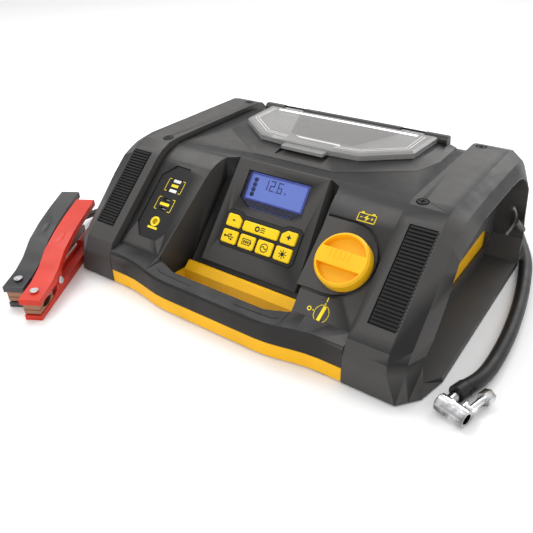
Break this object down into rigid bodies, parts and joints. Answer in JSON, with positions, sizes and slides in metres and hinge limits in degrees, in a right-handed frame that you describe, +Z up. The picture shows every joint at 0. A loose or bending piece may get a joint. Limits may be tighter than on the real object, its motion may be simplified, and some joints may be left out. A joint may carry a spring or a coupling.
{
  "type": "jump starter pack",
  "caption": "Portable jump starter with carry handle, display, keypad, rotary switch, work light, air hose with valve chuck and a pair of battery clamps.",
  "frame": {"origin": "on the ground under the middle of the box, leaving out the hose, cables and clamps", "axes": "+X to the user's right along the box, +Y from the carry handle to the back, +Z up"},
  "size_m": [0.5096, 0.4546, 0.1256],
  "materials": {
    "tub_yellow": "satin moulded plastic",
    "housing_black": "fine grained moulded plastic",
    "pad_rubber": "soft ribbed grip",
    "screw_black": "black oxide",
    "display_window": "clear polished",
    "display_blue": "lit blue display",
    "keypad_rubber": "matt",
    "key_yellow": "satin",
    "knob_yellow": "satin",
    "switch_black": "plain",
    "panel_black": "fine grained",
    "socket_steel": "plated",
    "jack_yellow": "satin",
    "reflector_silver": "silver lacquer",
    "board_green": "solder resist",
    "lens_clear": "clear polished",
    "pin_steel": "bright",
    "battery_case": "plain dark case",
    "pump_alloy": "cast",
    "foot_rubber": "matt",
    "outlet_black": "satin",
    "hose_rubber": "satin",
    "cable_red": "satin",
    "chuck_chrome": "polished",
    "clamp_red": "dipped",
    "clamp_black": "dipped",
    "jaw_copper": "copper plated"
  },
  "bodies": {
    "case": {"base_tub": "tub_yellow", "top_housing": "housing_black", "left_end_cap": "housing_black", "right_end_cap": "housing_black", "left_grip_pad": "pad_rubber", "right_grip_pad": "pad_rubber", "left_cap_screw_1": "screw_black", "left_cap_screw_2": "screw_black", "right_cap_screw_1": "screw_black", "right_cap_screw_2": "screw_black", "lcd_window": "display_window", "lcd_module": "display_blue", "keypad_mat": "keypad_rubber", "rotary_switch": "switch_black", "port_panel": "panel_black", "usb_sockets_1": "socket_steel", "usb_sockets_2": "socket_steel", "dc_input_jack": "jack_yellow", "lamp_reflector": "reflector_silver", "lamp_led_board": "board_green", "control_board": "board_green", "lamp_hinge_pin": "pin_steel", "battery_bracket": "pin_steel", "compressor_motor": "pin_steel", "red_clamp_pin": "pin_steel", "black_clamp_pin": "pin_steel", "red_clamp_spring": "pin_steel", "black_clamp_spring": "pin_steel", "battery": "battery_case", "compressor_pump": "pump_alloy", "front_foot_strip": "foot_rubber", "rear_foot_strip": "foot_rubber", "hose_outlet": "outlet_black", "cable_gland": "outlet_black", "hose_ferrule": "outlet_black", "hose_strain_relief": "hose_rubber", "air_hose": "hose_rubber", "black_cable": "hose_rubber", "red_cable": "cable_red", "chuck_body": "chuck_chrome", "red_clamp_lower_arm": "clamp_red", "black_clamp_lower_arm": "clamp_black", "red_clamp_lower_jaw": "jaw_copper", "black_clamp_lower_jaw": "jaw_copper"},
    "knob": {"jump_start_knob": "knob_yellow"},
    "lens": {"lamp_lens": "lens_clear"},
    "lever": {"chuck_lever": "chuck_chrome"},
    "red_clamp_grip": {"red_clamp_upper_arm": "clamp_red", "red_clamp_upper_jaw": "jaw_copper"},
    "black_clamp_grip": {"black_clamp_upper_arm": "clamp_black", "black_clamp_upper_jaw": "jaw_copper"},
    "key_minus": {"key_minus": "key_yellow"},
    "key_air": {"key_air": "key_yellow"},
    "key_plus": {"key_plus": "key_yellow"},
    "key_usb": {"key_usb": "key_yellow"},
    "key_battery": {"key_battery": "key_yellow"},
    "key_alternator": {"key_alternator": "key_yellow"},
    "key_light": {"key_light": "key_yellow"}
  },
  "joints": [
    {"name": "knob_turn", "type": "hinge", "parent": "case", "child": "knob", "pos_m": [0.1044, -0.08178, 0.07465], "axis": [0, -0.6564, 0.7544], "range_deg": [-90, 0]},
    {"name": "lens_hinge", "type": "hinge", "parent": "case", "child": "lens", "pos_m": [0, 0.1132, 0.1206], "axis": [-1, 0, 0], "range_deg": [0, 95]},
    {"name": "chuck_lever_hinge", "type": "hinge", "parent": "case", "child": "lever", "pos_m": [0.22996, -0.11335, 0.0076], "axis": [0.9627, -0.2706, 0], "range_deg": [0, 80]},
    {"name": "red_clamp_hinge", "type": "hinge", "parent": "case", "child": "red_clamp_grip", "pos_m": [-0.16932, -0.18314, 0.0165], "axis": [-0.8746, -0.4848, 0], "range_deg": [0, 13], "stiffness_Nm_per_rad": 4, "springref_deg": -17.19},
    {"name": "black_clamp_hinge", "type": "hinge", "parent": "case", "child": "black_clamp_grip", "pos_m": [-0.20042, -0.17884, 0.0165], "axis": [-0.8746, -0.4848, 0], "range_deg": [0, 13], "stiffness_Nm_per_rad": 4, "springref_deg": -17.19},
    {"name": "key_minus_press", "type": "slide", "parent": "case", "child": "key_minus", "axis": [0, 0.7926, -0.6097], "range_m": [0, 0.001], "stiffness_N_per_m": 600},
    {"name": "key_air_press", "type": "slide", "parent": "case", "child": "key_air", "axis": [0, 0.7926, -0.6097], "range_m": [0, 0.001], "stiffness_N_per_m": 600},
    {"name": "key_plus_press", "type": "slide", "parent": "case", "child": "key_plus", "axis": [0, 0.7926, -0.6097], "range_m": [0, 0.001], "stiffness_N_per_m": 600},
    {"name": "key_usb_press", "type": "slide", "parent": "case", "child": "key_usb", "axis": [0, 0.7926, -0.6097], "range_m": [0, 0.001], "stiffness_N_per_m": 600},
    {"name": "key_battery_press", "type": "slide", "parent": "case", "child": "key_battery", "axis": [0, 0.7926, -0.6097], "range_m": [0, 0.001], "stiffness_N_per_m": 600},
    {"name": "key_alternator_press", "type": "slide", "parent": "case", "child": "key_alternator", "axis": [0, 0.7926, -0.6097], "range_m": [0, 0.001], "stiffness_N_per_m": 600},
    {"name": "key_light_press", "type": "slide", "parent": "case", "child": "key_light", "axis": [0, 0.7926, -0.6097], "range_m": [0, 0.001], "stiffness_N_per_m": 600}
  ]
}
